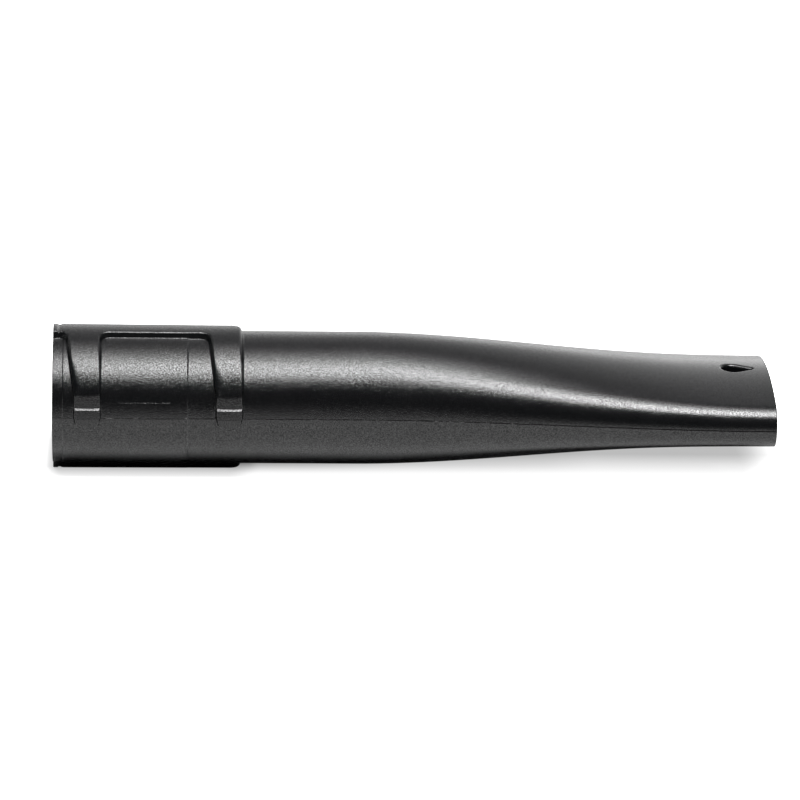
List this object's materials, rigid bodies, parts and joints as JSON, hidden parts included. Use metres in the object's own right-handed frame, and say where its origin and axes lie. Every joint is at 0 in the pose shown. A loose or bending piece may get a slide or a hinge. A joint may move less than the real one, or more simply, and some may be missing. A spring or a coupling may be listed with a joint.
{
  "type": "leaf blower nozzle",
  "caption": "Flat nozzle of a leaf blower: a bayonet collar leads through a round duct that tapers to a wide, low outlet with a hollow tie pillar.",
  "frame": {"origin": "centre of the inlet rim, on the duct's axis", "axes": "+X along the duct from the inlet to the outlet, +Z square to the flat outlet, with the seam between the shells in the plane Z = 0"},
  "size_m": [0.4115, 0.1084, 0.084],
  "materials": {
    "shell_plastic": "satin black moulded plastic with a fine sandblasted grain"
  },
  "bodies": {
    "root": {"upper_shell": "shell_plastic", "lower_shell": "shell_plastic"}
  },
  "joints": []
}
